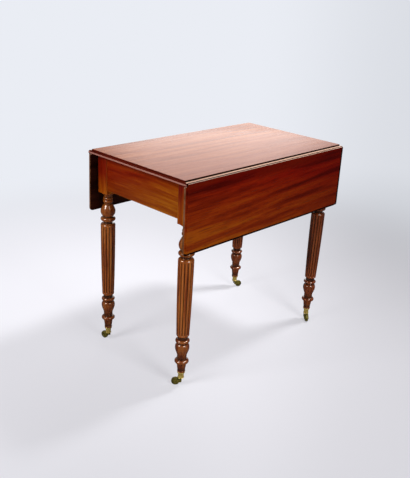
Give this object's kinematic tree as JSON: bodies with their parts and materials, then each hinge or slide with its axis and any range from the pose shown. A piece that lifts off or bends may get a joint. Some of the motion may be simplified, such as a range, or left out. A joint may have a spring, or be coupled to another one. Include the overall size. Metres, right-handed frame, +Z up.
{
  "type": "drop-leaf serving table",
  "caption": "Rectangular wooden drop-leaf table: fixed top, hanging rule-jointed leaves, apron with swinging supports, turned reeded legs on swivelling brass castors.",
  "frame": {"origin": "on the floor, under the middle of the table", "axes": "+Z up; X along the leaves' hinge lines; Y across the table, the longer leaf on the -Y side"},
  "size_m": [0.799, 0.479, 0.72],
  "materials": {
    "top_wood": "polished",
    "leaf_wood": "polished",
    "leg_wood": "polished",
    "rail_wood": "satin",
    "iron": "matt",
    "brass": "satin"
  },
  "bodies": {
    "frame": {"top_panel": "top_wood", "front_inner_rail": "rail_wood", "front_knuckle_rail": "rail_wood", "front_stop_rail": "rail_wood", "front_fly_pin": "iron", "rear_inner_rail": "rail_wood", "rear_knuckle_rail": "rail_wood", "rear_stop_rail": "rail_wood", "rear_fly_pin": "iron", "left_end_rail": "rail_wood", "right_end_rail": "rail_wood", "front_left_leg": "leg_wood", "front_left_hinge_top_plate": "iron", "front_left_hinge_pin": "iron", "front_left_fixing_screw": "iron", "front_left_fixing_block": "rail_wood", "front_left_castor_plate": "brass", "front_right_leg": "leg_wood", "front_right_hinge_top_plate": "iron", "front_right_hinge_pin": "iron", "front_right_fixing_screw": "iron", "front_right_fixing_block": "rail_wood", "front_right_castor_plate": "brass", "rear_left_leg": "leg_wood", "rear_left_hinge_top_plate": "iron", "rear_left_hinge_pin": "iron", "rear_left_fixing_screw": "iron", "rear_left_fixing_block": "rail_wood", "rear_left_castor_plate": "brass", "rear_right_leg": "leg_wood", "rear_right_hinge_top_plate": "iron", "rear_right_hinge_pin": "iron", "rear_right_fixing_screw": "iron", "rear_right_fixing_block": "rail_wood", "rear_right_castor_plate": "brass"},
    "front_leaf": {"front_leaf": "leaf_wood", "front_left_hinge_leaf_plate": "iron", "front_right_hinge_leaf_plate": "iron"},
    "front_fly": {"front_fly": "rail_wood"},
    "rear_leaf": {"rear_leaf": "leaf_wood", "rear_left_hinge_leaf_plate": "iron", "rear_right_hinge_leaf_plate": "iron"},
    "rear_fly": {"rear_fly": "rail_wood"},
    "front_left_castor": {"front_left_castor_horn": "brass", "front_left_castor_axle": "brass"},
    "front_left_wheel": {"front_left_castor_wheel": "brass"},
    "front_right_castor": {"front_right_castor_horn": "brass", "front_right_castor_axle": "brass"},
    "front_right_wheel": {"front_right_castor_wheel": "brass"},
    "rear_left_castor": {"rear_left_castor_horn": "brass", "rear_left_castor_axle": "brass"},
    "rear_left_wheel": {"rear_left_castor_wheel": "brass"},
    "rear_right_castor": {"rear_right_castor_horn": "brass", "rear_right_castor_axle": "brass"},
    "rear_right_wheel": {"rear_right_castor_wheel": "brass"}
  },
  "joints": [
    {"name": "front_leaf_hinge", "type": "hinge", "parent": "frame", "child": "front_leaf", "pos_m": [0, -0.225, 0.7082], "axis": [-1, 0, 0], "range_deg": [0, 89.25]},
    {"name": "rear_leaf_hinge", "type": "hinge", "parent": "frame", "child": "rear_leaf", "pos_m": [0, 0.225, 0.7082], "axis": [1, 0, 0], "range_deg": [0, 89.25]},
    {"name": "front_fly_pivot", "type": "hinge", "parent": "frame", "child": "front_fly", "pos_m": [0.06, -0.20365, 0.645], "axis": [0, 0, 1], "range_deg": [0, 1.5]},
    {"name": "rear_fly_pivot", "type": "hinge", "parent": "frame", "child": "rear_fly", "pos_m": [-0.06, 0.20365, 0.645], "axis": [0, 0, 1], "range_deg": [0, 1.5]},
    {"name": "front_left_swivel", "type": "hinge", "parent": "frame", "child": "front_left_castor", "pos_m": [-0.3485, -0.194, 0.0375], "axis": [0, 0, 1], "continuous": true},
    {"name": "front_left_wheel_spin", "type": "hinge", "parent": "front_left_castor", "child": "front_left_wheel", "pos_m": [-0.36078, -0.18084, 0.0135], "axis": [-0.7314, -0.682, 0], "continuous": true},
    {"name": "front_right_swivel", "type": "hinge", "parent": "frame", "child": "front_right_castor", "pos_m": [0.3485, -0.194, 0.0375], "axis": [0, 0, 1], "continuous": true},
    {"name": "front_right_wheel_spin", "type": "hinge", "parent": "front_right_castor", "child": "front_right_wheel", "pos_m": [0.33646, -0.20738, 0.0135], "axis": [0.7431, -0.6691, 0], "continuous": true},
    {"name": "rear_left_swivel", "type": "hinge", "parent": "frame", "child": "rear_left_castor", "pos_m": [-0.3485, 0.194, 0.0375], "axis": [0, 0, 1], "continuous": true},
    {"name": "rear_left_wheel_spin", "type": "hinge", "parent": "rear_left_castor", "child": "rear_left_wheel", "pos_m": [-0.35132, 0.21178, 0.0135], "axis": [-0.9877, -0.1564, 0], "continuous": true},
    {"name": "rear_right_swivel", "type": "hinge", "parent": "frame", "child": "rear_right_castor", "pos_m": [0.3485, 0.194, 0.0375], "axis": [0, 0, 1], "continuous": true},
    {"name": "rear_right_wheel_spin", "type": "hinge", "parent": "rear_right_castor", "child": "rear_right_wheel", "pos_m": [0.36439, 0.18555, 0.0135], "axis": [0.4695, 0.8829, 0], "continuous": true}
  ]
}
